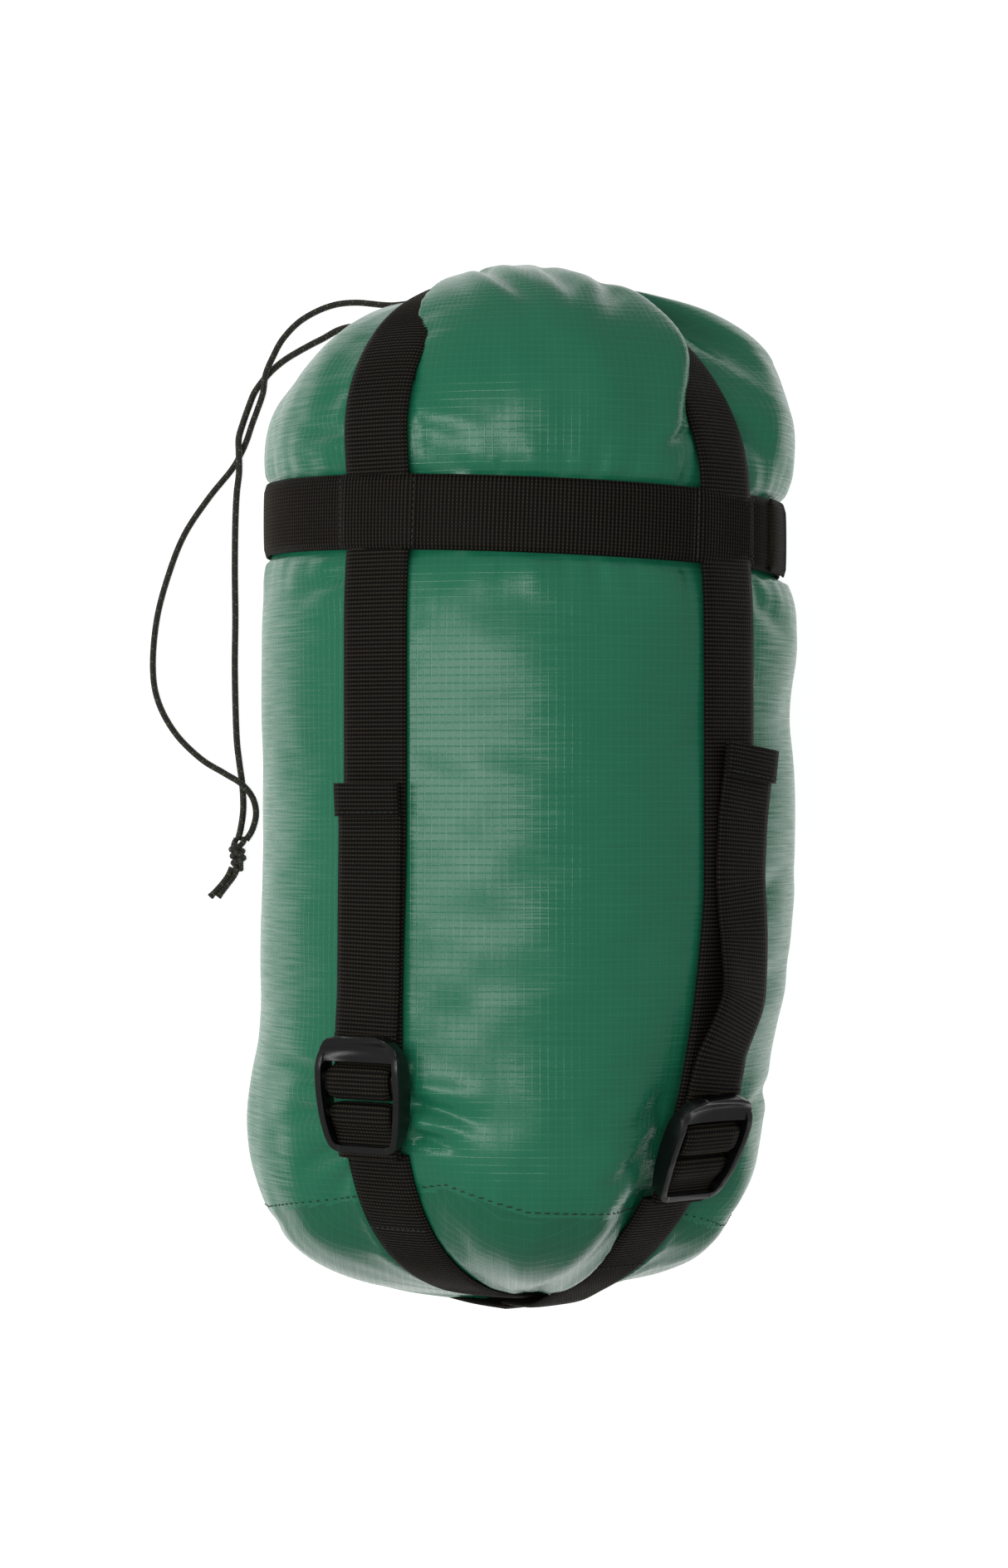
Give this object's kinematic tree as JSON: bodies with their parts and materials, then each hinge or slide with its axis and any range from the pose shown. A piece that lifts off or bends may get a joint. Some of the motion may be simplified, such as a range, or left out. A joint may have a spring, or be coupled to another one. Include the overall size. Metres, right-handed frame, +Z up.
{
  "type": "stuff sack",
  "caption": "Packed drawcord stuff sack lying on its side: ripstop tube, domed ends, girth band and crossed compression straps with ladder locks.",
  "frame": {"origin": "on the floor under the middle of the sack, which lies on its side", "axes": "+Y along the sack towards its closed mouth, +Z up, +X to the right when seen from above with the mouth away from the viewer"},
  "size_m": [0.238, 0.364, 0.1848],
  "materials": {
    "cloth": "coated ripstop nylon, slight sheen",
    "base_cloth": "coated ripstop nylon, slight sheen",
    "packing": "soft folded clothing",
    "webbing": "ribbed polypropylene webbing",
    "thread": "sewing thread",
    "lock_plastic": "moulded, satin gloss",
    "cord": "braided cord with pale flecks",
    "spring_steel": "spring wire"
  },
  "bodies": {
    "root": {"packed_clothing": "packing", "body_panel": "cloth", "bottom_panel": "base_cloth", "mouth_hem": "base_cloth", "hem_cord_loop": "cord", "bottom_seam_thread": "thread", "girth_band": "webbing", "girth_band_thread": "thread", "left_long_strap": "webbing", "left_buckle_strap": "webbing", "left_loop_thread": "thread", "right_long_strap": "webbing", "right_buckle_strap": "webbing", "right_loop_thread": "thread", "drawcord_upper_strand": "cord", "drawcord_lower_strand": "cord", "drawcord_knot": "cord"},
    "left_lock": {"left_ladder_lock": "lock_plastic", "left_webbing_loop": "webbing", "left_strap_wrap": "webbing"},
    "left_tail": {"left_strap_tail": "webbing", "left_tail_hem": "webbing"},
    "right_lock": {"right_ladder_lock": "lock_plastic", "right_webbing_loop": "webbing", "right_strap_wrap": "webbing"},
    "right_tail": {"right_strap_tail": "webbing", "right_tail_hem": "webbing"},
    "cord_lock": {"cord_lock_barrel": "lock_plastic", "cord_lock_spring": "spring_steel"},
    "cord_plunger": {"cord_lock_plunger": "lock_plastic"}
  },
  "joints": [
    {"name": "left_lock_tilt", "type": "hinge", "parent": "root", "child": "left_lock", "pos_m": [-0.05272, -0.12206, 0.16616], "axis": [0.829, 0, 0.5592], "range_deg": [0, 45]},
    {"name": "left_tail_lift", "type": "hinge", "parent": "left_lock", "child": "left_tail", "pos_m": [-0.05385, -0.08265, 0.16784], "axis": [0.829, 0, 0.5592], "range_deg": [0, 80]},
    {"name": "right_lock_tilt", "type": "hinge", "parent": "root", "child": "right_lock", "pos_m": [0.05113, -0.13878, 0.1438], "axis": [0.7373, 0, -0.6756], "range_deg": [0, 45]},
    {"name": "right_tail_lift", "type": "hinge", "parent": "right_lock", "child": "right_tail", "pos_m": [0.06179, -0.10255, 0.15543], "axis": [0.7373, 0, -0.6756], "range_deg": [0, 80]},
    {"name": "cord_lock_slide", "type": "slide", "parent": "root", "child": "cord_lock", "axis": [0, 0, 1], "range_m": [-0.004, 0.006]},
    {"name": "plunger_press", "type": "slide", "parent": "cord_lock", "child": "cord_plunger", "axis": [-1, 0, 0], "range_m": [0, 0.003], "stiffness_N_per_m": 900, "springref_m": -0.001, "deforming": ["cord_lock_spring"]}
  ]
}
